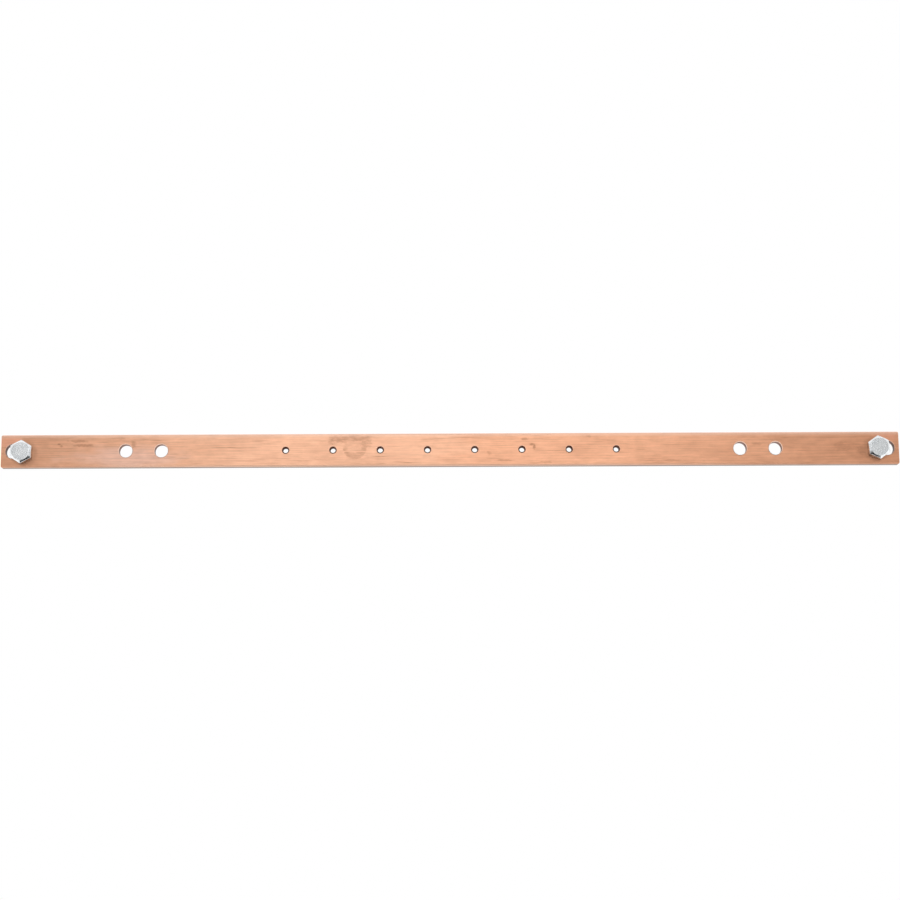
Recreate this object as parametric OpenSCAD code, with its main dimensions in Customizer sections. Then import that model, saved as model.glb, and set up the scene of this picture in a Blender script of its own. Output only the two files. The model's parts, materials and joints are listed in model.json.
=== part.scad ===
// Rack grounding busbar: a flat drawn-copper bar that spans a 19 inch equipment rack.
//
// The bar lies along X, its front face looks towards -Y and its height runs along Z.
// The origin is the middle of the back face, which seats on the rack's two rails.
// From the middle outwards the bar carries a row of small tapped holes for the earth
// wires, a pair of clearance holes on each side for a two-hole cable lug, and a slot at
// each end. A loose hex bolt sits in each slot, with its head on the front face and its
// shank standing out behind the bar. With the sizes below the slots' middles come out
// 465.1 mm apart, which is the hole spacing of a 19 inch rack.

/* [Bar] */
// Length of the bar from end to end
bar_length = 482.6; // [460:0.1:560]
// Height of the bar's front face
bar_height = 17.8; // [15:0.01:26]
// Thickness of the bar
bar_thickness = 4.76; // [3:0.01:8]
// Radius of the four long edges, left by the drawing die
edge_radius = 0.8; // [0.2:0.05:1]
// Radius of the corners of the sawn ends, seen from the front
corner_radius = 1; // [0.4:0.1:3]
// Bevel that deburring leaves between the end faces and the front and back
end_bevel = 0.25; // [0.1:0.05:0.6]

/* [Tapped holes] */
// Number of tapped holes in the row
tap_count = 8; // [2:1:9]
// Distance between neighbouring tapped holes
tap_pitch = 25.4; // [12:0.1:30]
// Outer diameter of the thread, across the bottoms of its grooves
tap_thread_d = 3.5; // [3:0.01:5]
// Diameter of the drilled wall, across the crests of the thread
tap_core_d = 2.8; // [2:0.01:2.9]
// How far the countersunk mouth stands clear of the thread all round
tap_mouth_margin = 0.35; // [0.05:0.05:0.5]

/* [Lug holes] */
// Diameter of the clearance holes for the cable lugs
lug_hole_d = 7.14; // [5:0.01:10]
// Distance between the two holes of a pair
lug_spacing = 19.05; // [12:0.01:30]
// Distance from the end of the bar to the middle of a pair
lug_inset = 76.2; // [50:0.1:90]
// Bevel around both mouths of a lug hole
lug_bevel = 0.35; // [0.1:0.05:0.8]

/* [Rack slots] */
// Gap between a bolt's thread and the long walls of its slot, with the bolt centred
slot_clearance = 0.794; // [0.4:0.001:1.5]
// How far a bolt can slide along its slot
slot_travel = 6.35; // [2:0.01:12]
// Metal left between a slot and the end of the bar
slot_end_wall = 2.39; // [1.2:0.01:8]
// Bevel around both mouths of a slot
slot_bevel = 0.35; // [0.1:0.05:0.8]

/* [Mounting bolts] */
// Outer diameter of the bolt's thread
bolt_d = 6.35; // [5:0.01:7]
// Length of the bolt under its head
bolt_length = 19.05; // [12:0.01:40]
// Width of the head across its flats
head_width = 11.11; // [10.6:0.01:14]
// Height of the head, with its washer face
head_height = 3.97; // [3:0.01:6]
// Thickness of the round washer face under the head
washer_face_height = 0.4; // [0.1:0.05:0.8]
// How far the washer face stands back from the flats
washer_face_step = 0.3; // [0.1:0.05:0.6]
// How far the chamfer on top of the head reaches in from the flats
crown_step = 0.8; // [0.3:0.05:1.5]
// Slope of that chamfer against the top of the head
crown_angle = 30; // [15:1:40]
// Length of the plain neck between the head and the thread
neck_length = 4.8; // [2:0.1:10]
// How far the thread's crests stand out of the neck
neck_step = 0.4; // [0.35:0.05:0.6]
// Radius of the fillet between the neck and the head
neck_fillet = 0.3; // [0.1:0.05:0.35]
// Chamfer at the bolt's point
point_chamfer = 0.8; // [0.3:0.05:1.2]

/* [Place of the bolts] */
// Gap between the left bolt and the inner end of its slot
left_end_gap = 0.8; // [0.1:0.1:1.9]
// Gap between the right bolt and the inner end of its slot
right_end_gap = 0.6; // [0.1:0.1:1.9]
// Gap between the left bolt and the lower wall of its slot
left_floor_gap = 0.1; // [0.05:0.05:0.7]
// Gap between the right bolt and the lower wall of its slot
right_floor_gap = 0.6; // [0.05:0.05:0.7]
// Turn of the left head from corner up, anticlockwise from the front
left_turn = -2; // [-30:0.1:30]
// Turn of the right head from corner up, anticlockwise from the front
right_turn = 5.2; // [-30:0.1:30]

/* [Hidden] */
$fn = 64;

COPPER = [0.80, 0.52, 0.38];
ZINC = [0.80, 0.82, 0.84];

// How far a cutting tool overruns the faces it cuts through
overrun = 1;

tap_bevel = (tap_thread_d - tap_core_d) / 2 + tap_mouth_margin;
tap_middle = (tap_count - 1) / 2;
lug_pair_x = bar_length / 2 - lug_inset;

slot_width = bolt_d + 2 * slot_clearance;
slot_length = bolt_d + slot_travel;
slot_x = bar_length / 2 - slot_end_wall - slot_length / 2;

head_corner_d = head_width / cos(30);
crown_r = head_width / 2 - crown_step;
crown_depth = (head_corner_d / 2 - crown_r) * tan(crown_angle);
washer_face_d = head_width - 2 * washer_face_step;
neck_r = bolt_d / 2 - neck_step;

// Distance of a bolt's axis from the middle of the bar, from the gap at its slot's end
function bolt_x(end_gap) = slot_x - slot_length / 2 + end_gap + bolt_d / 2;

// Height of a bolt's axis, from the gap under its thread
function bolt_z(floor_gap) = floor_gap - slot_clearance;

// A rectangle with round corners, centred on the origin
module rounded_rectangle(width, height, radius) {
    square([width - 2 * radius, height], center = true);
    square([width, height - 2 * radius], center = true);
    for (side_x = [-1, 1], side_y = [-1, 1])
        translate([side_x * (width / 2 - radius), side_y * (height / 2 - radius)])
            circle(r = radius);
}

// A rectangle with its four corners cut at 45 degrees, centred on the origin
module bevelled_rectangle(width, height, bevel) {
    half_w = width / 2;
    half_h = height / 2;
    polygon([
        [half_w - bevel, -half_h], [half_w, bevel - half_h],
        [half_w, half_h - bevel], [half_w - bevel, half_h],
        [bevel - half_w, half_h], [-half_w, half_h - bevel],
        [-half_w, bevel - half_h], [bevel - half_w, -half_h]
    ]);
}

// The bar before drilling: the drawn section along X, trimmed to its outline from the
// front and to its outline from above
module bar_blank() {
    translate([0, -bar_thickness / 2, 0])
        intersection() {
            rotate([90, 0, 90])
                linear_extrude(height = bar_length + 2 * overrun, center = true)
                    rounded_rectangle(bar_thickness, bar_height, edge_radius);
            rotate([90, 0, 0])
                linear_extrude(height = bar_thickness + 2 * overrun, center = true)
                    rounded_rectangle(bar_length, bar_height, corner_radius);
            linear_extrude(height = bar_height + 2 * overrun, center = true)
                bevelled_rectangle(bar_length, bar_thickness, end_bevel);
        }
}

// Half the section of a hole that runs through the bar with both mouths bevelled.
// The first number of a point is its distance from the middle of the hole, the second
// its distance in front of the bar's back face.
function bevelled_wall(half_width, bevel) = [
    [half_width + bevel + overrun, -overrun],
    [half_width, bevel],
    [half_width, bar_thickness - bevel],
    [half_width + bevel + overrun, bar_thickness + overrun]
];

// Cutter for a round hole at x
module round_hole(x, diameter, bevel) {
    translate([x, 0, 0])
        rotate([90, 0, 0])
            rotate_extrude()
                polygon(concat(
                    [[0, bar_thickness + overrun], [0, -overrun]],
                    bevelled_wall(diameter / 2, bevel)
                ));
}

// Cutter for a slot along X, with round ends, centred at x
module slot(x) {
    end_shift = (slot_length - slot_width) / 2;
    wall = bevelled_wall(slot_width / 2, slot_bevel);
    upper_wall = [for (point = wall) [-point[1], point[0]]];
    lower_wall = [for (i = [len(wall) - 1 : -1 : 0]) [-wall[i][1], -wall[i][0]]];
    for (side = [-1, 1])
        round_hole(x + side * end_shift, slot_width, slot_bevel);
    translate([x, 0, 0])
        rotate([90, 0, 90])
            linear_extrude(height = 2 * end_shift, center = true)
                polygon(concat(upper_wall, lower_wall));
}

// The copper bar with all its holes
module busbar() {
    color(COPPER)
        difference() {
            bar_blank();
            for (i = [0 : tap_count - 1])
                round_hole((i - tap_middle) * tap_pitch, tap_core_d, tap_bevel);
            for (side = [-1, 1], hole = [-1, 1])
                round_hole(side * lug_pair_x + hole * lug_spacing / 2, lug_hole_d, lug_bevel);
            for (side = [-1, 1])
                slot(side * slot_x);
        }
}

// Head of the bolt: a hexagon whose top is turned to a shallow cone, so that each flat
// ends in an arch and each corner in a point, over a round washer face
module bolt_head() {
    intersection() {
        translate([0, 0, washer_face_height])
            cylinder(d = head_corner_d, h = head_height - washer_face_height, $fn = 6);
        rotate_extrude()
            polygon([
                [0, 0],
                [head_corner_d / 2, 0],
                [head_corner_d / 2, head_height - crown_depth],
                [crown_r, head_height],
                [0, head_height]
            ]);
    }
    cylinder(d = washer_face_d, h = washer_face_height);
}

// Shank of the bolt below the head: the fillet and the plain neck, the stretch that
// bears the thread at its full diameter, and the chamfered point
module bolt_shank() {
    rotate_extrude()
        difference() {
            polygon([
                [0, 0],
                [neck_r + neck_fillet, 0],
                [neck_r + neck_fillet, -neck_fillet],
                [neck_r, -neck_fillet],
                [neck_r, neck_step - neck_length],
                [bolt_d / 2, -neck_length],
                [bolt_d / 2, point_chamfer - bolt_length],
                [bolt_d / 2 - point_chamfer, -bolt_length],
                [0, -bolt_length]
            ]);
            translate([neck_r + neck_fillet, -neck_fillet])
                circle(r = neck_fillet);
        }
}

// A bolt seated on the bar's front face, with its axis at x and z
module mounting_bolt(x, z, turn) {
    color(ZINC)
        translate([x, -bar_thickness, z])
            rotate([90, 0, 0])
                rotate([0, 0, 90 + turn]) {
                    bolt_head();
                    bolt_shank();
                }
}

module left_mounting_bolt() {
    mounting_bolt(-bolt_x(left_end_gap), bolt_z(left_floor_gap), left_turn);
}

module right_mounting_bolt() {
    mounting_bolt(bolt_x(right_end_gap), bolt_z(right_floor_gap), right_turn);
}

busbar();
left_mounting_bolt();
right_mounting_bolt();
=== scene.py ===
# %% [markdown]
# # A rack grounding busbar
# The real object is a flat bar of drawn copper that spans an equipment rack, with two
# zinc-plated hex bolts resting in its end slots. The CAD frame fixes every size and
# place. This lesson dresses that frame: it builds the bar and the bolts once more as
# fine meshes, with the threads that the solids leave out, and gives them their finish.
# Everything is in metres in the frame's own axes: X along the bar, -Y out of its front
# face and Z up.

# %% Load the frame
import json
import math

import bmesh
import bpy
from mathutils import Matrix, Vector


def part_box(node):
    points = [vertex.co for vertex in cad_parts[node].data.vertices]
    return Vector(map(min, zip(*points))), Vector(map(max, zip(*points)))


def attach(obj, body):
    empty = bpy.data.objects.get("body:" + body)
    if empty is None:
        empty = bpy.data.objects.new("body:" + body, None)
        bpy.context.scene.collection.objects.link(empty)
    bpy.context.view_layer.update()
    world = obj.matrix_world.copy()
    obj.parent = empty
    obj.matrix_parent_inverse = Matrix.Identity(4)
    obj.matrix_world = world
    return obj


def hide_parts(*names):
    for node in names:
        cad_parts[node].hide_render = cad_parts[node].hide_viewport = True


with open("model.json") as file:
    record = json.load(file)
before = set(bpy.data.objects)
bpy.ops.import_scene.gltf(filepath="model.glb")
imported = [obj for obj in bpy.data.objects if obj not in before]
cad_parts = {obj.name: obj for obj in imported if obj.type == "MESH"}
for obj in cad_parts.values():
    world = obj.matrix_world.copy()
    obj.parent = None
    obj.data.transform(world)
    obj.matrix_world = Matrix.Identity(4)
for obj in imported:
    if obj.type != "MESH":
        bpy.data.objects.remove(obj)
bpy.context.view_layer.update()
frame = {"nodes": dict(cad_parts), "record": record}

mounts = {mount["name"]: mount for mount in frame["record"]["mounts"]}
print("nodes:", sorted(frame["nodes"]))
print("mounts:", sorted(mounts))

# %% [markdown]
# ## Sizes
# The bar's outside comes from its box in the frame, and its holes come from the mounts
# that the record states. What the record doesn't state, such as the bevels that
# deburring leaves, is a named value here. Workshop drawings are in millimetres, so these
# sizes are too, and each mesh is scaled to metres once, when it is finished.

# %% Sizes of the bar, in millimetres
MM = 0.001
INCH = 25.4

bar_low, bar_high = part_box("busbar")
HALF_LENGTH = bar_high.x / MM
HALF_HEIGHT = bar_high.z / MM
FRONT_FACE = bar_low.y / MM
BACK_FACE = bar_high.y / MM
THICKNESS = (bar_high.y - bar_low.y) / MM

EDGE_RADIUS = 0.8
CORNER_RADIUS = 1.0
END_BEVEL = 0.25
print(f"bar {2 * HALF_LENGTH:.1f} x {2 * HALF_HEIGHT:.2f} x {THICKNESS:.2f} mm")

# %% Sizes of the holes, in millimetres
tap_names = sorted(name for name in mounts if name.startswith("tapped_hole"))
TAP_PLACES = [mounts[name]["pos_m"][0] / MM for name in tap_names]
TAP_CORE_RADIUS = mounts[tap_names[0]]["dims"]["r_mm"]
TAP_THREAD_RADIUS = 1.7525
TAP_BEVEL = (THICKNESS - mounts[tap_names[0]]["dims"]["length_mm"]) / 2
TAP_THREAD_PITCH = INCH / 32

LUG_PLACES = [
    mounts[name]["pos_m"][0] / MM + side * mounts[name]["dims"]["spacing_x_mm"] / 2
    for name in ("left_lug_holes", "right_lug_holes")
    for side in (-1, 1)
]
LUG_RADIUS = mounts["left_lug_holes"]["dims"]["hole_r_mm"]
LUG_BEVEL = 0.35

SLOT_RADIUS = 3.969
SLOT_LENGTH = 12.7
SLOT_END_WALL = 2.39
SLOT_BEVEL = 0.35
SLOT_PLACE = HALF_LENGTH - SLOT_END_WALL - SLOT_LENGTH / 2
print(f"slots {2 * SLOT_PLACE:.1f} mm apart, lug holes at {LUG_PLACES}")

# %% [markdown]
# ## The camera
# The bar is seen almost square on, from a little below and a little to the left of its
# middle. A camera could be aimed by hand, but here the aim follows from the bar: the
# line of sight halves the angle between the bar's two ends, and the lens is as long as
# it takes for the bar to fill the picture's width. The picture is turned by a quarter of
# a degree, because the bar doesn't hang quite level.

# %% Camera
CAMERA_AZIMUTH = math.radians(-0.7)
CAMERA_ELEVATION = math.radians(-11)
CAMERA_DISTANCE = 1.05
SIGHT_DROP = 0.0003
PICTURE_TILT = math.radians(0.245)
SHARE_OF_WIDTH = 0.9978
SENSOR_WIDTH = 36
NEAREST = 0.01
FARTHEST = 20

front_middle = Vector((0, bar_low.y, 0))
outwards = Vector((
    math.sin(CAMERA_AZIMUTH) * math.cos(CAMERA_ELEVATION),
    -math.cos(CAMERA_AZIMUTH) * math.cos(CAMERA_ELEVATION),
    math.sin(CAMERA_ELEVATION),
))
eye = front_middle + outwards * CAMERA_DISTANCE
to_left = (front_middle + Vector((bar_low.x, 0, 0)) - eye).normalized()
to_right = (front_middle + Vector((bar_high.x, 0, 0)) - eye).normalized()
across = (to_right - to_left).normalized()
drop = Vector((0, 0, SIGHT_DROP / CAMERA_DISTANCE))
sight = ((to_left + to_right) / 2 - drop).normalized()
aim = Matrix((across, across.cross(sight), -sight)).transposed().to_4x4()

camera_data = bpy.data.cameras.new("camera")
camera_data.sensor_width = SENSOR_WIDTH
half_view = math.tan(to_left.angle(to_right) / 2)
camera_data.lens = SENSOR_WIDTH / 2 * SHARE_OF_WIDTH / half_view
camera_data.clip_start = NEAREST
camera_data.clip_end = FARTHEST
camera = bpy.data.objects.new("camera", camera_data)
camera.matrix_world = Matrix.Translation(eye) @ aim @ Matrix.Rotation(-PICTURE_TILT, 4, "Z")
bpy.context.scene.collection.objects.link(camera)
bpy.context.scene.camera = camera
bpy.context.scene.view_settings.view_transform = "Standard"
print(f"lens {camera_data.lens:.1f} mm, {CAMERA_DISTANCE} m from the bar")

# %% [markdown]
# ## Rings and stacks
# The bar's holes and the bolts are all turned or milled, so each of them is a stack of
# closed rings. A Screw modifier could spin a profile, but it can't make a slot, a
# hexagon or a thread whose ends fade out. A stack of rings, each with as many points as
# the next, makes all of them, and bands of quads join neighbouring rings.

# %% Rings
SAME_PLACE = 1e-4


def circle_angles(count):
    """Equal steps round a circle."""
    return [2 * math.pi * i / count for i in range(count)]


def obround(radius, half_travel, angles):
    """The outline of a slot: a circle whose right and left halves are pulled apart."""
    return [
        (radius * math.cos(a) + math.copysign(half_travel, math.cos(a)), radius * math.sin(a))
        for a in angles
    ]


def stack_rings(bm, rings):
    """Joins closed rings of points by bands of quads, and returns the faces made."""
    vert_rings = [[bm.verts.new(point) for point in ring] for ring in rings]
    faces = []
    for near, far in zip(vert_rings, vert_rings[1:]):
        for i, vert in enumerate(near):
            j = (i + 1) % len(near)
            faces.append(bm.faces.new((vert, near[j], far[j], far[i])))
    return faces


def cap_plane(bm, depth):
    """Fills the flat region at one depth between all the open edges that lie there."""
    rim = [
        edge for edge in bm.edges
        if len(edge.link_faces) == 1
        and all(abs(vert.co.y - depth) < SAME_PLACE for vert in edge.verts)
    ]
    bmesh.ops.triangle_fill(bm, use_beauty=True, use_dissolve=False, edges=rim)


# %% [markdown]
# A crease belongs where two machined surfaces meet, and not on a rounded edge or inside
# a thread. So edges are creased by the angle between their faces, apart from the faces
# of a thread. A weighted normal modifier then keeps the big flat faces truly flat in
# the reflections, although rounded edges run into them.

# %% From bmesh to a finished piece
CREASE_ANGLE = math.radians(28)
LARGE_FACES_LEAD = 100


def finish_piece(bm, name, thread_faces, node, material):
    """Turns a bmesh in millimetres into a piece of the frame that stands for a node."""
    bmesh.ops.recalc_face_normals(bm, faces=bm.faces)
    threads = set(thread_faces)
    for face in bm.faces:
        face.smooth = True
    for edge in bm.edges:
        in_thread = all(face in threads for face in edge.link_faces)
        edge.smooth = in_thread or edge.calc_face_angle(0) < CREASE_ANGLE
    bmesh.ops.scale(bm, vec=(MM, MM, MM), verts=bm.verts)
    open_edges = sum(1 for edge in bm.edges if len(edge.link_faces) != 2)
    volume = bm.calc_volume() / MM**3
    mesh = bpy.data.meshes.new(name)
    bm.to_mesh(mesh)
    bm.free()
    mesh.materials.append(material)
    piece = bpy.data.objects.new(name, mesh)
    bpy.context.scene.collection.objects.link(piece)
    weighted = piece.modifiers.new("flat_faces_stay_flat", "WEIGHTED_NORMAL")
    weighted.keep_sharp = True
    weighted.weight = LARGE_FACES_LEAD
    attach(piece, "root")
    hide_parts(node)
    triangles = sum(len(face.vertices) - 2 for face in mesh.polygons)
    print(f"{name}: {triangles} triangles, {open_edges} open edges, {volume:.0f} mm3")


# %% [markdown]
# ## Threads
# A thread is a radius that rises and falls with the place along the axis plus a share of
# the turn around it, so one pitch is gained in one turn. The same formula cuts the
# bolts' threads and the tapped holes. The flanks lean 30 degrees each way, as on every
# inch screw.

# %% Thread profile
FLANK_ANGLE = math.radians(30)
HALF_CREST = 1 / 16


def thread_radius(outer, depth, pitch, place, angle):
    """Radius of a right-hand thread whose outer flat is an eighth of the pitch."""
    phase = (place / pitch + angle / (2 * math.pi)) % 1
    flank = depth * math.tan(FLANK_ANGLE) / pitch
    below = (abs(phase - 0.5) - HALF_CREST) / flank
    return outer - depth * min(1, max(0, below))


# %% [markdown]
# ## Node maths
# Finishes are built from nodes. Written out node by node they are hard to read, so one
# small class wraps a socket: arithmetic on it adds Math nodes, and one method makes any
# other node from its type, its settings and its sockets.

# %% The socket wrapper
class Socket:
    """An output socket of the material in the making, with arithmetic."""

    tree = None

    def __init__(self, output):
        self.output = output

    @staticmethod
    def node(kind, settings=None, sockets=None, output=0):
        """Adds a node, sets it up, fills its sockets and wraps one of its outputs."""
        made = Socket.tree.nodes.new("ShaderNode" + kind)
        for name, value in (settings or {}).items():
            setattr(made, name, value)
        for name, value in (sockets or {}).items():
            if isinstance(value, Socket):
                Socket.tree.links.new(value.output, made.inputs[name])
            else:
                made.inputs[name].default_value = value
        return Socket(made.outputs[output]) if made.outputs else None

    def maths(self, operation, *others):
        """A Math node on this value and up to two more."""
        values = dict(enumerate((self, *others)))
        return Socket.node("Math", {"operation": operation}, values)

    def __add__(self, other):
        return self.maths("ADD", other)

    def __sub__(self, other):
        return self.maths("SUBTRACT", other)

    def __rsub__(self, other):
        return Socket.node("Math", {"operation": "SUBTRACT"}, {0: other, 1: self})

    def __mul__(self, other):
        return self.maths("MULTIPLY", other)

    def __truediv__(self, other):
        return self.maths("DIVIDE", other)

    def __pow__(self, other):
        return self.maths("POWER", other)

    __radd__ = __add__
    __rmul__ = __mul__

    def ramp(self, start, end):
        """0 below start, 1 above end and an eased rise between; end may be the lower."""
        return Socket.node(
            "MapRange",
            {"interpolation_type": "SMOOTHSTEP"},
            {"Value": self, "From Min": start, "From Max": end},
        )


# %% [markdown]
# Masks and colours need a few more moves. A Mix node blends colours; its colour sockets
# are found by number, because Blender gives the sockets of every data type one name.

# %% Masks and colours
MIX_FIRST = 6
MIX_SECOND = 7
MIX_RESULT = 2


def either(first, second):
    """The larger of two masks."""
    return first.maths("MAXIMUM", second)


def size_of(value):
    """A value without its sign."""
    return value.maths("ABSOLUTE")


def blend_colour(share, first, second):
    """The first colour where share is 0, the second where it is 1."""
    return Socket.node(
        "Mix",
        {"data_type": "RGBA"},
        {0: share, MIX_FIRST: first, MIX_SECOND: second},
        output=MIX_RESULT,
    )


def scale_vector(vector, factor):
    """A vector or colour times a value, by Vector Math so that a colour keeps its hue."""
    return Socket.node("VectorMath", {"operation": "SCALE"}, {0: vector, "Scale": factor})


# %% [markdown]
# Surface marks sit at real places on the object, so their noise is driven by the place
# on the object, in millimetres. A stretched noise gives the long lines of drawn metal,
# and an even one gives stains and mottle. Each noise is shifted by its own amount, so
# that no two of them look alike.

# %% Places and noise
SHIFT_STEPS = (1.0, 2.3, 3.1)


def place_in_mm():
    """The place on the object in millimetres, as one vector."""
    return scale_vector(Socket.node("TexCoord", output="Object"), 1 / MM)


def parts_of(vector):
    """X, Y and Z of a vector, each by itself."""
    split = Socket.node("SeparateXYZ", sockets={0: vector})
    return tuple(Socket(output) for output in split.output.node.outputs)


def noise(place, sizes, detail, shift):
    """Smooth noise from 0 to 1 whose blotches are as large as sizes says, in mm."""
    stretch = tuple(1 / size for size in sizes)
    moved = Socket.node(
        "VectorMath",
        {"operation": "MULTIPLY_ADD"},
        {0: place, 1: stretch, 2: tuple(shift * step for step in SHIFT_STEPS)},
    )
    return Socket.node(
        "TexNoise",
        {"noise_dimensions": "3D"},
        {"Vector": moved, "Scale": 1.0, "Detail": detail},
    )


# %% [markdown]
# Both finishes are bare metal with a fine relief, so they begin and end alike: an empty
# material that the next nodes fill, and one metal shader that takes what they make.

# %% Start and end of a material
def new_material(name):
    """An empty material whose node tree the next Socket calls fill."""
    material = bpy.data.materials.new(name)
    material.use_nodes = True
    Socket.tree = material.node_tree
    Socket.tree.nodes.clear()
    return material


def end_in(shader):
    """Makes a shader the surface of the material in the making."""
    Socket.node("OutputMaterial", {}, {"Surface": shader})


def end_in_metal(colour, metallic, roughness, relief, strength, depth):
    """Ends the material in the making in a metal with a fine relief."""
    bump = Socket.node(
        "Bump", {}, {"Height": relief, "Strength": strength, "Distance": depth}
    )
    end_in(Socket.node(
        "BsdfPrincipled",
        {},
        {"Base Color": colour, "Metallic": metallic, "Roughness": roughness, "Normal": bump},
    ))


# %% [markdown]
# ## Drawn copper
# The bar is bare copper, pulled through a die and lightly brushed, so fine lines run
# along it. Handling and heat have left it uneven. It is browner towards both ends, and
# there its colour is also painted darker: painted shade for the light that falls off
# along the bar. It is rosier in its left half, paler and greyer in one patch at the left,
# and redder at its upper corners. A painted map could hold all this, but masks worked out
# from places on the bar stay sharp at any distance and need no file. Each mask says how
# much of one more copper colour lies there.

# %% Copper colours
FRESH_COPPER = (0.90, 0.472, 0.293, 1)
ROSY_COPPER = (0.925, 0.52, 0.34, 1)
BROWN_SHADED_COPPER = (0.62, 0.29, 0.163, 1)
PALE_COPPER = (0.85, 0.53, 0.41, 1)
HEATED_COPPER = (0.93, 0.43, 0.29, 1)

# %% Soft marks
MARK_RAGGEDNESS = 1.6
MARK_RIM = 1.1
MARK_CORE = 0.35


def distance_from(x, z, centre_x, centre_z):
    """Distance in the front view from one point on the bar."""
    across_it = x - centre_x
    up_it = z - centre_z
    return (across_it * across_it + up_it * up_it) ** 0.5


def soft_mark(x, z, ragged, centre, half_size, strength):
    """A soft mark with a ragged rim, longer than it is high if half_size says so."""
    across_it = (x - centre[0]) / half_size[0]
    up_it = (z - centre[1]) / half_size[1]
    reach = (across_it * across_it + up_it * up_it) ** 0.5
    reach = reach + (ragged - 0.5) * MARK_RAGGEDNESS
    return reach.ramp(MARK_RIM, MARK_CORE) * strength


# %% Where the copper has turned, and where shade is painted towards the ends
# The freshest and brightest place, and how much browner and darker in painted shade the copper
# gets towards the ends
FRESHEST_BRIGHTEST_PLACE = -20
BROWN_SHADE_FROM = 0.30
BROWN_SHADE_TO = 1.06
MOST_BROWN_AND_SHADE = 0.68
BROWN_SHADE_CLOUDS = 0.5
ROSY_BORDER = 25
ROSY_WANDER = 90
PALE_PATCH = ((-171, -3), (36, 8), 0.8)
HEATED_CORNERS = (((-236, 6), (7, 4), 0.45), ((233, 6.5), (8, 3), 0.5))


def brownness_and_shade(x, cloud):
    """How far the copper has browned and is painted darker as shade: hardly in the fresh middle
    and most at the ends.
    """
    from_freshest = size_of(x - FRESHEST_BRIGHTEST_PLACE) / HALF_LENGTH
    return from_freshest.ramp(BROWN_SHADE_FROM, BROWN_SHADE_TO) * MOST_BROWN_AND_SHADE + (cloud - 0.5) * BROWN_SHADE_CLOUDS


def turned_copper(x, z, cloud, brown_and_shade):
    """The colour of the clean metal, with painted shade towards the ends."""
    rosy = (x + (cloud - 0.5) * ROSY_WANDER).ramp(ROSY_BORDER, -ROSY_BORDER)
    left_heat, right_heat = [soft_mark(x, z, cloud, *corner) for corner in HEATED_CORNERS]
    colour = blend_colour(rosy, FRESH_COPPER, ROSY_COPPER)
    # browner towards the ends, and painted darker there as shade
    colour = blend_colour(brown_and_shade, colour, BROWN_SHADED_COPPER)
    colour = blend_colour(soft_mark(x, z, cloud, *PALE_PATCH), colour, PALE_COPPER)
    return blend_colour(either(left_heat, right_heat), colour, HEATED_COPPER)


# %% [markdown]
# ## The dried drop
# Left of the middle a drop of flux or water dried on the bar. Its lower part is an even
# half disc under a thin light line, its sides are ragged, and a broken band runs over
# it. A ring alone would look drawn with compasses, so the same noise pushes the rim of
# the disc and the edges of every patch about, and a second noise thins them out.

# %% The drop's shape, in millimetres
DROP_CENTRE = (-51.8, 1.0)
DROP_RADIUS = 6.2
DROP_RIM = 0.35
DISC_WANDER = 1.4
SIDE_WANDER = 3.0
TOP_WANDER = 1.5
LINE_BOTTOM = -0.95
LINE_TOP = -0.75
LINE_FADE = 0.3
PATCH_FADE_X = 1.2
PATCH_FADE_Z = 0.8
PATCH_WANDER_X = 4.5
PATCH_WANDER_Z = 2.2

# Each patch reaches between two places in X and two in Z, and has its own strength
DROP_PATCHES = [
    ((-64.6, -43.4), (4.6, 8.0), 0.80),
    ((-65.6, -63.0), (3.0, 7.2), 0.95),
    ((-62.0, -56.0), (4.0, 6.8), 0.95),
    ((-48.4, -43.4), (1.4, 5.6), 0.85),
    ((-57.6, -46.4), (1.2, 5.0), 0.35),
]


def within(value, span, fade):
    """1 between the two ends of a span, fading out across both."""
    low, high = span
    return value.ramp(low - fade, low + fade) * value.ramp(high + fade, high - fade)


def drop_patch(x, z, ragged, span_x, span_z, strength):
    """A darker patch of the drop, which fades out all round."""
    inside_x = within(x + ragged * PATCH_WANDER_X, span_x, PATCH_FADE_X)
    inside_z = within(z - ragged * PATCH_WANDER_Z, span_z, PATCH_FADE_Z)
    return inside_x * inside_z * strength


def dried_drop(place, x, z):
    """Where the drop dried, from 0 to 1."""
    ragged = noise(place, (1.5, 1.5, 1.0), detail=3, shift=4.7) - 0.5
    worn = noise(place, (2.6, 2.0, 0.6), detail=4, shift=9.1).ramp(0.32, 0.62)
    from_centre = distance_from(x, z, *DROP_CENTRE) + ragged * DISC_WANDER
    disc = from_centre.ramp(DROP_RADIUS + DROP_RIM, DROP_RADIUS - DROP_RIM)
    to_the_side = size_of(x - DROP_CENTRE[0]) + ragged * SIDE_WANDER

    # Even below the light line, and darkest in its two upper corners
    corners = to_the_side.ramp(1.8, 4.6) * z.ramp(-3.4, -1.4)
    below_line = z.ramp(LINE_BOTTOM, LINE_BOTTOM - LINE_FADE)
    bottom = disc * below_line * (corners * 0.40 + 0.60)

    # Clear in the middle above the line, with sides that thin out upwards
    above_line = z.ramp(LINE_TOP, LINE_TOP + LINE_FADE)
    sides = to_the_side.ramp(2.4, 5.2) * (z + ragged * TOP_WANDER).ramp(3.4, 0.4)
    stain = either(bottom, disc * above_line * sides * 0.85)
    for span_x, span_z, strength in DROP_PATCHES:
        stain = either(stain, drop_patch(x, z, ragged, span_x, span_z, strength))
    return stain * (worn * 0.6 + 0.4)


# %% [markdown]
# ## Small dark marks
# A bare bar in a workshop collects more than one stain: short dark lines along the
# drawing direction and a few smudges. Around each bolt head a soft dark ring, wider
# towards the middle of the bar and below, is painted shadow. The lines come from a noise
# that is stretched along the bar and kept to some patches. The smudges are few and each
# has its own place, so they are simply listed.

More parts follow.
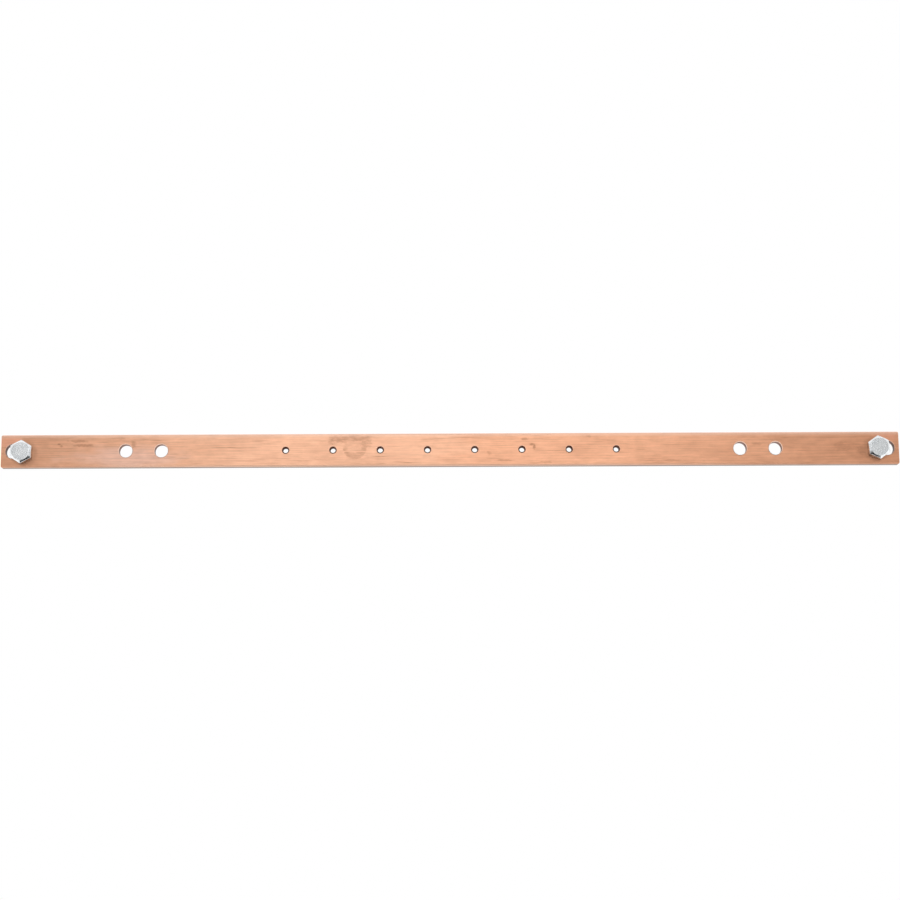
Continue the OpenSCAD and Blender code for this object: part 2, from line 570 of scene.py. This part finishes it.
# %% Places of the small marks, in millimetres
# Colour of the dark marks and of the painted shadow round the bolt heads
DARK_MARK_AND_SHADOW = (0.36, 0.17, 0.095, 1)
DARK_LINE_STRENGTH = 0.40
DROP_STRENGTH = 0.50
# Strength, reach and offset of the painted shadow round the bolt heads
SHADOW_RING_STRENGTH = 0.32
RING_OUTSIDE = 8.2
RING_INSIDE = 5.6
RING_OFFSET_X = 1.3
RING_OFFSET_Z = -0.6
RING_WANDER = 1.5

# Each mark has a centre in X and Z, half its length and height, and a strength
SMALL_MARKS = [
    ((-210.4, 3.7), (1.0, 0.8), 0.60),
    ((-209.0, 2.6), (1.2, 0.8), 0.55),
    ((-200.0, 5.4), (7.0, 1.0), 0.42),
    ((-197.0, 3.0), (6.5, 1.0), 0.40),
    ((-178.0, 6.9), (5.0, 0.8), 0.30),
    ((-170.4, 3.8), (1.6, 2.6), 0.34),
    ((39.4, 5.7), (2.8, 0.9), 0.40),
    ((43.4, 2.6), (1.9, 0.9), 0.48),
    ((44.6, 1.2), (0.9, 2.0), 0.50),
    ((50.8, -7.1), (4.8, 0.5), 0.42),
    ((29.0, -6.0), (5.2, 0.7), 0.32),
    ((20.5, -2.0), (1.4, 1.4), 0.26),
    ((74.0, 7.0), (2.0, 1.0), 0.26),
    ((118.0, -6.6), (7.0, 0.7), 0.26),
    ((164.5, 2.4), (3.4, 1.0), 0.32),
    ((211.0, 0.6), (6.0, 3.0), 0.24),
    ((221.0, -1.4), (3.0, 3.0), 0.36),
]


def shadow_ring_round_head(x, z, ragged, shank_name, towards_middle):
    """The painted shadow around a bolt head, wider towards the middle of the bar and below."""
    shank_x, _, shank_z = [value / MM for value in mounts[shank_name]["pos_m"]]
    from_head = distance_from(
        x, z, shank_x + RING_OFFSET_X * towards_middle, shank_z + RING_OFFSET_Z
    )
    from_head = from_head + (ragged - 0.5) * RING_WANDER
    return from_head.ramp(RING_OUTSIDE, RING_INSIDE) * SHADOW_RING_STRENGTH


def dark_marks_and_head_shadow(place, x, z):
    """All dark marks on the front face, with the painted shadow round the bolt heads, from 0 to
    1.
    """
    lines = noise(place, (14, 5, 0.36), detail=2, shift=11.9).ramp(0.58, 0.72)
    patches = noise(place, (30, 20, 6), detail=2, shift=13.1).ramp(0.35, 0.60)
    ragged = noise(place, (1.6, 1.6, 0.7), detail=3, shift=15.3)
    marks = lines * patches * DARK_LINE_STRENGTH
    for centre, half_size, strength in SMALL_MARKS:
        marks = either(marks, soft_mark(x, z, ragged, centre, half_size, strength))
    # painted shadow round both bolt heads
    marks = either(marks, shadow_ring_round_head(x, z, ragged, "left_bolt_shank", 1))
    marks = either(marks, shadow_ring_round_head(x, z, ragged, "right_bolt_shank", -1))
    return either(marks, dried_drop(place, x, z) * DROP_STRENGTH)


print(len(SMALL_MARKS), "small marks and", len(DROP_PATCHES), "patches in the drop")

# %% [markdown]
# ## Edges, bores and mouths
# A highlight is painted along the long upper edge and down onto the face below it. The
# lower rounding is painted paler and made less metallic, painted light that keeps it as
# bright as the face although it mirrors the dark card, and the underside is painted dark
# as shade. Inside the holes the drill left a rougher wall, which is painted dark as shade,
# darker still in the slots, with a painted highlight on the bevel at each mouth, fainter
# in the slots. All of these could be materials of their own, but masks let them run into
# the same metal.

# %% Colours and reach of the edges, in millimetres
# Painted highlight along the upper edge
HIGHLIGHT_COPPER = (0.98, 0.68, 0.54, 1)
# Painted light on the lower rounding
PAINTED_LIGHT_COPPER = (0.95, 0.60, 0.43, 1)
# Painted shade on the underside
SHADED_UNDERSIDE_COPPER = (0.215, 0.132, 0.092, 1)
# Painted highlight on the mouths of the holes and slots
HIGHLIGHT_RIM_COPPER = (0.98, 0.70, 0.56, 1)
# Painted shade on the walls of the holes and slots
SHADED_BORE_COPPER = (0.19, 0.076, 0.045, 1)

FRONT_DEPTH = 0.5
WALL_START = 0.30
WALL_FULL = 0.42
MOUTH_END = 0.34
TAP_MOUTH_EXTRA = 0.2
TAP_ROW_END = 125
SLOT_START = 215
HALF_HOLE_ROW = 5.0
BAR_END_MARGIN = 1.2


def among_the_holes(x, z):
    """1 on the middle of the bar's height and short of its ends, where the holes are."""
    near_middle = size_of(z).ramp(HALF_HOLE_ROW + 0.4, HALF_HOLE_ROW)
    off_the_end = size_of(x).ramp(HALF_LENGTH - BAR_END_MARGIN / 2, HALF_LENGTH - BAR_END_MARGIN)
    return near_middle * off_the_end


def on_a_wall(x, y, z):
    """1 on the walls of the holes and slots, past the first part of their bevels."""
    tapped = size_of(x).ramp(TAP_ROW_END + 5, TAP_ROW_END) * TAP_MOUTH_EXTRA
    past_front = (y + tapped).ramp(FRONT_FACE + WALL_START, FRONT_FACE + WALL_FULL)
    past_back = (y - tapped).ramp(BACK_FACE - WALL_START, BACK_FACE - WALL_FULL)
    return past_front * past_back * among_the_holes(x, z)


def on_a_mouth(x, y, z):
    """1 on the bevels at the front of the holes and slots, where a highlight is painted."""
    behind_face = y.ramp(FRONT_FACE + 0.01, FRONT_FACE + 0.05)
    before_wall = y.ramp(FRONT_FACE + WALL_FULL, FRONT_FACE + MOUTH_END)
    return behind_face * before_wall * among_the_holes(x, z)


# %% The copper material
# Reach and strength of the painted highlight along the upper edge
UPPER_HIGHLIGHT_REACH = 2.6
UPPER_HIGHLIGHT_STRENGTH = 0.55
# Strength of the painted light on the lower rounding, and how much less metallic it is
PAINTED_LIGHT_STRENGTH = 0.8
LOWER_ROUNDING_DULLNESS = 0.6
COPPER_ROUGHNESS = 0.36
COPPER_RELIEF = 0.06
COPPER_RELIEF_DEPTH = 0.0001


def edged_copper(colour, x, y, z, brown_and_shade, painted_light_band, underside, wall):
    """The colour of the face, with the painted highlights and painted shade of the edges, the
    mouths and the bores laid over it.
    """
    upper_highlight = z.ramp(HALF_HEIGHT - UPPER_HIGHLIGHT_REACH, HALF_HEIGHT - 0.2)
    in_slot = size_of(x).ramp(SLOT_START, SLOT_START + 3)
    # painted light on the lower rounding, less where the copper is browner
    painted_light_share = painted_light_band * (1 - brown_and_shade.ramp(0, 0.6)) * PAINTED_LIGHT_STRENGTH
    # painted highlight on the mouths, fainter in the slots
    mouth = on_a_mouth(x, y, z) * (1 - in_slot * 0.6)
    # painted highlight along the upper edge
    colour = blend_colour(upper_highlight * UPPER_HIGHLIGHT_STRENGTH, colour, HIGHLIGHT_COPPER)
    colour = blend_colour(painted_light_share, colour, PAINTED_LIGHT_COPPER)
    # painted shade on the underside
    colour = blend_colour(underside, colour, SHADED_UNDERSIDE_COPPER)
    colour = blend_colour(mouth, colour, HIGHLIGHT_RIM_COPPER)
    # painted shade on the walls of the holes, darker still in the slots
    colour = blend_colour(wall, colour, SHADED_BORE_COPPER)
    return scale_vector(colour, 1 - wall * in_slot * 0.45)


def drawn_copper():
    """Bare drawn copper with its tarnish and marks, and with painted highlights and painted
    shade.
    """
    material = new_material("drawn_copper")
    place = place_in_mm()
    x, y, z = parts_of(place)
    lines = noise(place, (42, 5, 0.55), detail=3, shift=1.3)
    hairlines = noise(place, (11, 2, 0.16), detail=2, shift=2.9)
    cloud = noise(place, (24, 14, 8), detail=3, shift=5.3)
    mottle = noise(place, (5, 4, 2), detail=4, shift=7.7)

    brown_and_shade = brownness_and_shade(x, cloud)
    front = y.ramp(FRONT_FACE + FRONT_DEPTH, FRONT_FACE + 0.1)
    # the lower rounding, where light is painted
    painted_light_band = z.ramp(-HALF_HEIGHT + 0.95, -HALF_HEIGHT + 0.55)
    # the underside, where shade is painted
    underside = z.ramp(-HALF_HEIGHT + 0.12, -HALF_HEIGHT + 0.01)
    wall = on_a_wall(x, y, z)
    # dark marks with the painted shadow round the heads, on the front face only
    marks = dark_marks_and_head_shadow(place, x, z) * front

    colour = blend_colour(marks, turned_copper(x, z, cloud, brown_and_shade), DARK_MARK_AND_SHADOW)
    shade = 1 + (lines - 0.5) * 0.52 + (hairlines - 0.5) * 0.34 + (mottle - 0.5) * 0.34
    colour = scale_vector(colour, shade)
    colour = edged_copper(colour, x, y, z, brown_and_shade, painted_light_band, underside, wall)
    uneven = (lines - 0.5) * 0.16 + (cloud - 0.5) * 0.12
    roughness = COPPER_ROUGHNESS + uneven + marks * 0.12 + wall * 0.12
    # the lower rounding is less metallic, so that it catches the lamps' light
    metallic = 1 - painted_light_band * (1 - underside) * LOWER_ROUNDING_DULLNESS
    relief = lines * 0.6 + hairlines
    end_in_metal(colour, metallic, roughness, relief, COPPER_RELIEF, COPPER_RELIEF_DEPTH)
    return material


copper = drawn_copper()
print("copper:", len(copper.node_tree.nodes), "nodes")

# %% [markdown]
# ## Zinc plate
# The bolts are steel with a bright zinc plate, a light bluish grey metal. Tumbling in
# the plating barrel leaves it softly mottled, with small dents. Its shader is the same
# metal shader, with even noise in place of the drawn lines.

# %% The zinc material
ZINC_LIGHT = (0.90, 0.92, 0.93, 1)
ZINC_DULL = (0.60, 0.63, 0.65, 1)
ZINC_ROUGHNESS = 0.17
ZINC_RELIEF = 0.30
ZINC_RELIEF_DEPTH = 0.00012


def zinc_plate():
    """Bright zinc on steel, mottled by barrel plating."""
    material = new_material("zinc_plate")
    place = place_in_mm()
    cloud = noise(place, (3.2, 3.2, 3.2), detail=3, shift=3.7)
    specks = noise(place, (0.55, 0.55, 0.55), detail=3, shift=8.3)
    dull = cloud.ramp(0.35, 0.68) * 0.50 + specks.ramp(0.42, 0.66) * 0.38
    colour = blend_colour(dull, ZINC_LIGHT, ZINC_DULL)
    roughness = ZINC_ROUGHNESS + dull * 0.14
    end_in_metal(colour, 1.0, roughness, specks, ZINC_RELIEF, ZINC_RELIEF_DEPTH)
    return material


zinc = zinc_plate()
print("zinc:", len(zinc.node_tree.nodes), "nodes")

# %% [markdown]
# ## The bar
# The bar is drawn with rounded long edges, sawn to length, rounded at its four corners
# and deburred. Seen from the front it is one outline, and deeper in the metal the same
# outline is cut back by the long rounding and the end bevel. So a few copies of the
# outline, each held inside a smaller rectangle, make the whole outside.

# %% Outline of the bar
CORNER_STEPS = 8
LONG_STEPS = 40
EDGE_STEPS = 8
QUARTER_TURN = math.pi / 2


def front_outline():
    """The bar seen from the front, anticlockwise, as points in X and Z."""
    centre_x = HALF_LENGTH - CORNER_RADIUS
    centre_z = HALF_HEIGHT - CORNER_RADIUS
    points = []
    for quarter, (side_x, side_z) in enumerate([(1, 1), (-1, 1), (-1, -1), (1, -1)]):
        for step in range(CORNER_STEPS + 1):
            turn = (quarter + step / CORNER_STEPS) * QUARTER_TURN
            points.append((
                side_x * centre_x + CORNER_RADIUS * math.cos(turn),
                side_z * centre_z + CORNER_RADIUS * math.sin(turn),
            ))
        if side_x == side_z:
            for step in range(1, LONG_STEPS):
                along = centre_x * (1 - 2 * step / LONG_STEPS)
                points.append((side_x * along, side_z * HALF_HEIGHT))
    return points


def edge_depths():
    """Depths of the rings that follow the long rounding and the end bevel."""
    turns = [i * QUARTER_TURN / EDGE_STEPS for i in range(EDGE_STEPS + 1)]
    rounding = {round(EDGE_RADIUS * (1 - math.cos(turn)), 6) for turn in turns}
    return sorted(rounding | {END_BEVEL})


def bar_ring(outline, depth):
    """The outline at a depth behind the front face, held inside the bar's section."""
    from_face = min(depth, THICKNESS - depth)
    into_edge = max(0, EDGE_RADIUS - from_face)
    edge_loss = EDGE_RADIUS - math.sqrt(EDGE_RADIUS**2 - into_edge**2)
    top = HALF_HEIGHT - edge_loss
    end = HALF_LENGTH - max(0, END_BEVEL - from_face)
    return [
        (max(-end, min(end, x)), FRONT_FACE + depth, max(-top, min(top, z)))
        for x, z in outline
    ]


outline = front_outline()
print(len(outline), "points round the bar,", len(edge_depths()), "rings in each rounding")

# %% [markdown]
# ## The holes
# A lug hole and a slot have four rings: the wide mouth, the wall at the end of the
# bevel, and the same at the back. A tapped hole needs many rings, because its thread
# winds through them. Its mouths are countersunk, so each ring takes the larger of the
# thread and the cone. The flat faces between the holes are filled last, as one region.

# %% Walls of the holes
HOLE_STEPS = 96
TAP_STEPS = 64
TAP_RING_STEP = 0.07


def bevelled_hole(bm, centre_x, radius, half_travel, bevel):
    """A clearance hole or a slot, bevelled at both mouths."""
    rings = []
    angles = [angle + math.pi / HOLE_STEPS for angle in circle_angles(HOLE_STEPS)]
    for depth, widening in (
        (0, bevel), (bevel, 0), (THICKNESS - bevel, 0), (THICKNESS, bevel)
    ):
        rings.append([
            (centre_x + x, FRONT_FACE + depth, z)
            for x, z in obround(radius + widening, half_travel, angles)
        ])
    stack_rings(bm, rings)


def tapped_hole(bm, centre_x):
    """Adds a tapped hole, countersunk at both mouths, and returns its faces."""
    rings = []
    groove_depth = TAP_THREAD_RADIUS - TAP_CORE_RADIUS
    steps = math.ceil(THICKNESS / TAP_RING_STEP)
    for step in range(steps + 1):
        depth = THICKNESS * step / steps
        cone = TAP_CORE_RADIUS + TAP_BEVEL - min(depth, THICKNESS - depth)
        ring = []
        for angle in circle_angles(TAP_STEPS):
            thread = thread_radius(
                TAP_THREAD_RADIUS, groove_depth, TAP_THREAD_PITCH, depth, angle
            )
            radius = max(thread, cone)
            ring.append((
                centre_x + radius * math.cos(angle),
                FRONT_FACE + depth,
                radius * math.sin(angle),
            ))
        rings.append(ring)
    return stack_rings(bm, rings)


# %% Build the bar
def build_bar():
    """Makes the copper bar with all its holes, as one closed mesh."""
    bm = bmesh.new()
    front_depths = edge_depths()
    depths = front_depths + [THICKNESS - depth for depth in reversed(front_depths)]
    stack_rings(bm, [bar_ring(outline, depth) for depth in depths])
    bmesh.ops.remove_doubles(bm, verts=bm.verts, dist=SAME_PLACE)
    for place in LUG_PLACES:
        bevelled_hole(bm, place, LUG_RADIUS, 0, LUG_BEVEL)
    for side in (-1, 1):
        half_travel = SLOT_LENGTH / 2 - SLOT_RADIUS
        bevelled_hole(bm, side * SLOT_PLACE, SLOT_RADIUS, half_travel, SLOT_BEVEL)
    thread_faces = []
    for place in TAP_PLACES:
        thread_faces += tapped_hole(bm, place)
    cap_plane(bm, FRONT_FACE)
    cap_plane(bm, BACK_FACE)
    finish_piece(bm, "copper_bar", thread_faces, "busbar", copper)


build_bar()

# %% [markdown]
# ## The hex bolts
# A hex cap screw is forged: a six-sided head whose top is turned to a shallow cone, so
# each side ends in an arch, on a round washer face. Below it are a plain neck, the
# thread and a chamfered point. The whole bolt is one stack of rings, because a forging
# has no seams. The corners of the hexagon are slightly rounded, as forged ones are.

# %% Sizes of a bolt, in millimetres
BOLT_RADIUS = 6.35 / 2
BOLT_LENGTH = 19.05
BOLT_PITCH = INCH / 20
THREAD_DEPTH = 0.6134 * BOLT_PITCH
POINT_CHAMFER = 0.8
NECK_LENGTH = 4.8
NECK_STEP = 0.4
NECK_RADIUS = BOLT_RADIUS - NECK_STEP
NECK_FILLET = 0.3

HALF_FLATS = 11.11 / 2
HEAD_HEIGHT = 3.97
WASHER_HEIGHT = 0.4
WASHER_RADIUS = HALF_FLATS - 0.3
CROWN_RADIUS = HALF_FLATS - 0.8
CROWN_SLOPE = math.tan(math.radians(30))
CROWN_ROUNDING = 0.2
HEX_CORNER_ROUNDING = 0.3
HEX_LOWER_BEVEL = 0.06
HEAD_EDGE_ROUNDING = 0.14

LEFT_TURN = math.radians(-2)
RIGHT_TURN = math.radians(5.2)
print(f"bolts {2 * BOLT_RADIUS:.2f} mm thick, {2 * HALF_FLATS:.2f} mm across the flats")

# %% Hexagon
SIXTH_TURN = math.pi / 3
SIDE_ANGLES = (-30, -29.4, -28.7, -27.5, -22, -15, -7.5, 0, 7.5, 15, 22, 27.5, 28.7, 29.4)


def head_angles():
    """Angles round the head from a corner, closer together at the corners."""
    return [math.radians(60 * side + 30 + a) for side in range(6) for a in SIDE_ANGLES]


def hexagon_radius(angle, inset=0.0):
    """Distance to the hexagon's side, with rounded corners; a corner is at angle 0."""
    half_side = SIXTH_TURN / 2
    from_flat = abs((angle % SIXTH_TURN) - half_side)
    flats = HALF_FLATS - inset
    straight = flats - HEX_CORNER_ROUNDING
    if from_flat <= math.atan(math.tan(half_side) * straight / flats):
        return flats / math.cos(from_flat)
    centre = straight / math.cos(half_side)
    off = half_side - from_flat
    across_centre = HEX_CORNER_ROUNDING**2 - (centre * math.sin(off)) ** 2
    return centre * math.cos(off) + math.sqrt(across_centre)


# %% [markdown]
# The thread doesn't stop all at once. Towards the neck its crests are turned down, and
# its grooves get shallower over the last turn, where the cutting die let go.

# %% Rings of the shank
SHANK_RING_STEP = 0.08
SHANK_RING_COUNT = round((BOLT_LENGTH - NECK_LENGTH) / SHANK_RING_STEP)
CREST_RUNOUT_SLOPE = 0.5
CREST_RUNOUT = NECK_STEP / CREST_RUNOUT_SLOPE
GROOVE_RUNOUT_SLOPE = 0.4
GROOVE_RUNOUT = 1.2
FILLET_STEPS = 5


def threaded_ring(height, angles):
    """One ring of the thread, between the cone of the point and the run-out."""
    to_neck = height + NECK_LENGTH
    cone = BOLT_RADIUS - POINT_CHAMFER + (height + BOLT_LENGTH)
    crest = BOLT_RADIUS - max(0, to_neck + CREST_RUNOUT) * CREST_RUNOUT_SLOPE
    groove = BOLT_RADIUS - THREAD_DEPTH
    groove += max(0, to_neck + GROOVE_RUNOUT) * GROOVE_RUNOUT_SLOPE
    ring = []
    for angle in angles:
        thread = thread_radius(BOLT_RADIUS, THREAD_DEPTH, BOLT_PITCH, -height, angle)
        ring.append((min(max(thread, groove), cone, crest), height))
    return ring


def shank_rings(angles):
    """From the point up to the fillet under the head, as (radius, height) rings."""
    rings = []
    for step in range(SHANK_RING_COUNT + 1):
        share = step / SHANK_RING_COUNT
        height = -BOLT_LENGTH + (BOLT_LENGTH - NECK_LENGTH) * share
        rings.append(threaded_ring(height, angles))
    for height in (-NECK_LENGTH + NECK_STEP, -NECK_FILLET):
        rings.append([(NECK_RADIUS, height)] * len(angles))
    for step in range(1, FILLET_STEPS + 1):
        turn = step * QUARTER_TURN / FILLET_STEPS
        radius = NECK_RADIUS + NECK_FILLET * (1 - math.cos(turn))
        height = -NECK_FILLET + NECK_FILLET * math.sin(turn)
        rings.append([(radius, height)] * len(angles))
    return rings


# %% Rings of the head
def rounded_edge(start, edge, end, steps=4):
    """Points on a smooth bend from start to end that leans towards edge."""
    points = []
    for step in range(steps + 1):
        t = step / steps
        points.append(tuple(
            (1 - t) ** 2 * a + 2 * t * (1 - t) * b + t * t * c
            for a, b, c in zip(start, edge, end)
        ))
    return points


def head_rings(angles):
    """From the washer face up to the top, as (radius, height) rings."""
    rings = [
        [(WASHER_RADIUS, 0)] * len(angles),
        [(WASHER_RADIUS, WASHER_HEIGHT)] * len(angles),
        [(hexagon_radius(angle, HEX_LOWER_BEVEL), WASHER_HEIGHT) for angle in angles],
        [(hexagon_radius(angle), WASHER_HEIGHT + HEX_LOWER_BEVEL) for angle in angles],
    ]
    bends = []
    for angle in angles:
        radius = hexagon_radius(angle)
        height = HEAD_HEIGHT - (radius - CROWN_RADIUS) * CROWN_SLOPE
        bends.append(rounded_edge(
            (radius, height - HEAD_EDGE_ROUNDING),
            (radius, height),
            (radius - HEAD_EDGE_ROUNDING, height + HEAD_EDGE_ROUNDING * CROWN_SLOPE),
        ))
    rings += [list(ring) for ring in zip(*bends)]
    crown_bend = rounded_edge(
        (CROWN_RADIUS + CROWN_ROUNDING, HEAD_HEIGHT - CROWN_ROUNDING * CROWN_SLOPE),
        (CROWN_RADIUS, HEAD_HEIGHT),
        (CROWN_RADIUS - CROWN_ROUNDING, HEAD_HEIGHT),
    )
    rings += [[point] * len(angles) for point in crown_bend]
    return rings


# %% Build the two bolts
def build_bolt(name, node, turn):
    """Makes a hex bolt where its node's box and mount say, with its head turned."""
    shank_middle = mounts[node.replace("mounting_bolt", "bolt_shank")]["pos_m"]
    centre_x = shank_middle[0] / MM
    centre_z = shank_middle[2] / MM
    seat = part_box(node)[1].y / MM - BOLT_LENGTH
    angles = head_angles()
    rings = []
    for ring in shank_rings(angles) + head_rings(angles):
        placed = []
        for angle, (radius, height) in zip(angles, ring):
            from_front = angle + QUARTER_TURN + turn
            placed.append((
                centre_x + radius * math.cos(from_front),
                seat - height,
                centre_z + radius * math.sin(from_front),
            ))
        rings.append(placed)
    bm = bmesh.new()
    faces = stack_rings(bm, rings)
    bm.verts.ensure_lookup_table()
    bm.faces.new(bm.verts[:len(angles)])
    bm.faces.new(bm.verts[-len(angles):])
    thread_faces = faces[:SHANK_RING_COUNT * len(angles)]
    finish_piece(bm, name, thread_faces, node, zinc)


build_bolt("left_bolt", "left_mounting_bolt", LEFT_TURN)
build_bolt("right_bolt", "right_mounting_bolt", RIGHT_TURN)

# %% [markdown]
# ## The floor
# The bar floats over a wide pale floor, as in a light tent. The floor is matt and keeps
# the shadow. A brighter lamp could whiten it, but that would wash out the bar, so a
# share of its light is its own instead. Only the camera's rays and mirrored or
# refracted ones see that share, so that it stays as pale as the background.

# %% Rays that see the background
def straight_rays():
    """1 for the camera's own rays."""
    path = Socket.node("LightPath").output.node.outputs
    return Socket(path["Is Camera Ray"])


def mirrored_rays():
    """1 for the rays by which metal and glass show what is around them."""
    path = Socket.node("LightPath").output.node.outputs
    return either(Socket(path["Is Glossy Ray"]), Socket(path["Is Transmission Ray"]))


# %% Floor
FLOOR_HEIGHT = -0.45
FLOOR_REACH = 4.0
FLOOR_WHITE = (0.86, 0.86, 0.86, 1)
FLOOR_GLOW = 0.35
WHITE = (1, 1, 1, 1)
SQUARE_CORNERS = ((-1, -1), (1, -1), (1, 1), (-1, 1))


def pale_floor():
    """A matt white floor that is as pale as the background."""
    material = new_material("pale_floor")
    seen = either(straight_rays(), mirrored_rays())
    matt = Socket.node("BsdfDiffuse", {}, {"Color": FLOOR_WHITE})
    glow = Socket.node("Emission", {}, {"Color": WHITE, "Strength": seen * FLOOR_GLOW})
    end_in(Socket.node("AddShader", {}, {0: matt, 1: glow}))
    return material


def flat_sheet(name, corners, material):
    """A rectangle made from its four corners."""
    mesh = bpy.data.meshes.new(name)
    mesh.from_pydata(corners, [], [(0, 1, 2, 3)])
    mesh.materials.append(material)
    sheet = bpy.data.objects.new(name, mesh)
    bpy.context.scene.collection.objects.link(sheet)
    return sheet


floor_corners = [(x * FLOOR_REACH, y * FLOOR_REACH, FLOOR_HEIGHT) for x, y in SQUARE_CORNERS]
floor = flat_sheet("floor", floor_corners, pale_floor())
print("floor at", FLOOR_HEIGHT, "m")

# %% [markdown]
# ## Black cards
# Bright metal under even light looks flat, because it mirrors nothing but light. A
# studio sets black cards around it, so that its lower chamfers and sides turn dark and
# its form shows. Here one card lies low in front of the bar and leans towards it, and
# one stands farther off. The camera doesn't see them, and they cast no shadow.

# %% Cards
CARD_BLACK = (0.03, 0.03, 0.03, 1)

card_material = new_material("black_card")
end_in(Socket.node("BsdfDiffuse", {}, {"Color": CARD_BLACK}))


def black_card(name, centre, width, height, lean):
    """Sets up a card that only mirrors show: it keeps light from what faces it."""
    corners = [(x * width / 2, 0, z * height / 2) for x, z in SQUARE_CORNERS]
    card = flat_sheet(name, corners, card_material)
    card.location = centre
    card.rotation_euler = (lean, 0, 0)
    card.visible_camera = False
    card.visible_shadow = False
    card.visible_diffuse = False
    print(name, "at", centre)


black_card("low_card", (0, -0.32, -0.36), 0.70, 0.54, math.radians(42))
black_card("front_card", (0, -0.95, -0.27), 0.40, 0.44, 0)

# %% [markdown]
# ## The room
# Seen directly the background is white. What the metal mirrors is a pale backdrop
# behind it and at its sides, and a dimmer room behind the camera. The middle of the
# front face mirrors the softbox, and its ends mirror more and more of that room, which
# makes the light fall off along the bar.

# %% World
ROOM_LEVEL = 0.48
BACKDROP_LEVEL = 1.05
ROOM_DIRECTION = -0.90
BACKDROP_DIRECTION = -0.50

world = bpy.data.worlds.new("studio")
world.use_nodes = True
bpy.context.scene.world = world
Socket.tree = world.node_tree
Socket.tree.nodes.clear()
away_from_room = parts_of(Socket.node("TexCoord", output="Generated"))[1]
backdrop = away_from_room.ramp(ROOM_DIRECTION, BACKDROP_DIRECTION)
surroundings = backdrop * (BACKDROP_LEVEL - ROOM_LEVEL) + ROOM_LEVEL
straight = straight_rays()
level = straight + (1 - straight) * surroundings
sky = Socket.node("Background", {}, {"Color": WHITE, "Strength": level})
Socket.node("OutputWorld", {}, {"Surface": sky})
print("room", ROOM_LEVEL, "backdrop", BACKDROP_LEVEL)

# %% [markdown]
# ## The softbox
# One broad lamp hangs above and behind the camera, where the front face mirrors it.
# Its brightness is given as the level that a perfect mirror would show, and its power
# in watts follows from that and its area, so its size can change by itself.

# %% Softbox
SOFTBOX_CENTRE = Vector((0.0, -1.9, 0.40))
SOFTBOX_WIDTH = 1.1
SOFTBOX_HEIGHT = 0.8
SOFTBOX_RADIANCE = 1.0

softbox_data = bpy.data.lights.new("softbox", "AREA")
softbox_data.shape = "RECTANGLE"
softbox_data.size = SOFTBOX_WIDTH
softbox_data.size_y = SOFTBOX_HEIGHT
softbox_data.energy = math.pi * SOFTBOX_WIDTH * SOFTBOX_HEIGHT * SOFTBOX_RADIANCE
softbox = bpy.data.objects.new("softbox", softbox_data)
softbox.location = SOFTBOX_CENTRE
softbox.rotation_euler = (-SOFTBOX_CENTRE).to_track_quat("-Z", "Y").to_euler()
bpy.context.scene.collection.objects.link(softbox)
print("softbox", round(softbox_data.energy, 2), "W")
